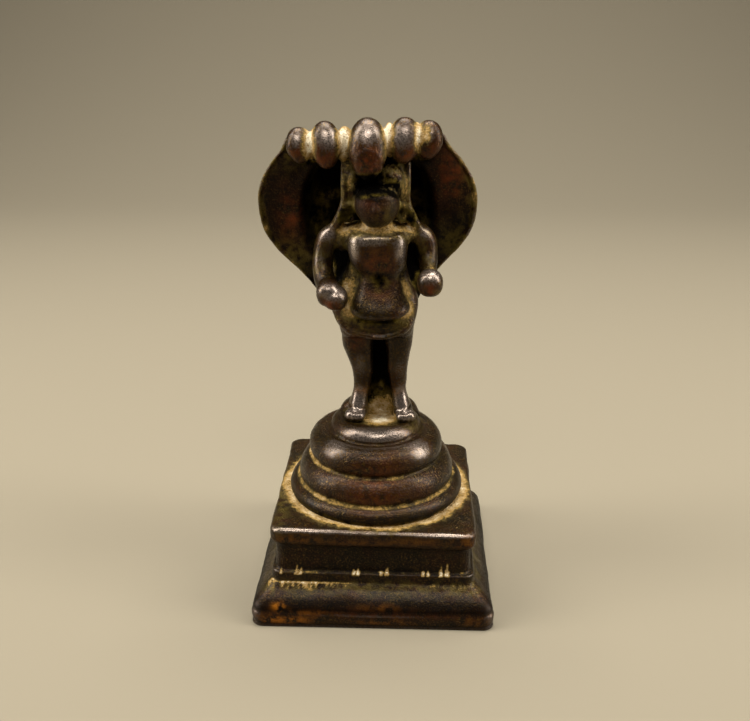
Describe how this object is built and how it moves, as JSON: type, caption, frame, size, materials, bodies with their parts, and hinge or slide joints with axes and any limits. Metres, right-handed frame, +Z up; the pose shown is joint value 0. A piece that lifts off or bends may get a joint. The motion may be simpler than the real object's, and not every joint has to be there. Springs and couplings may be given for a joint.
{
  "type": "krishna figure",
  "caption": "Small cast bronze figure of Krishna standing on a coiled snake under its many-headed hood, on a moulded square plinth.",
  "frame": {"origin": "centre of the plinth's underside", "axes": "+Z up; the figure looks along -Y, and +X is to the right of someone who looks at its face"},
  "size_m": [0.0474, 0.0474, 0.0947],
  "materials": {
    "bronze": "dark brown patinated bronze, worn satin on the high points, pale residue in the grooves"
  },
  "bodies": {
    "root": {"krishna_figure": "bronze"}
  },
  "joints": []
}
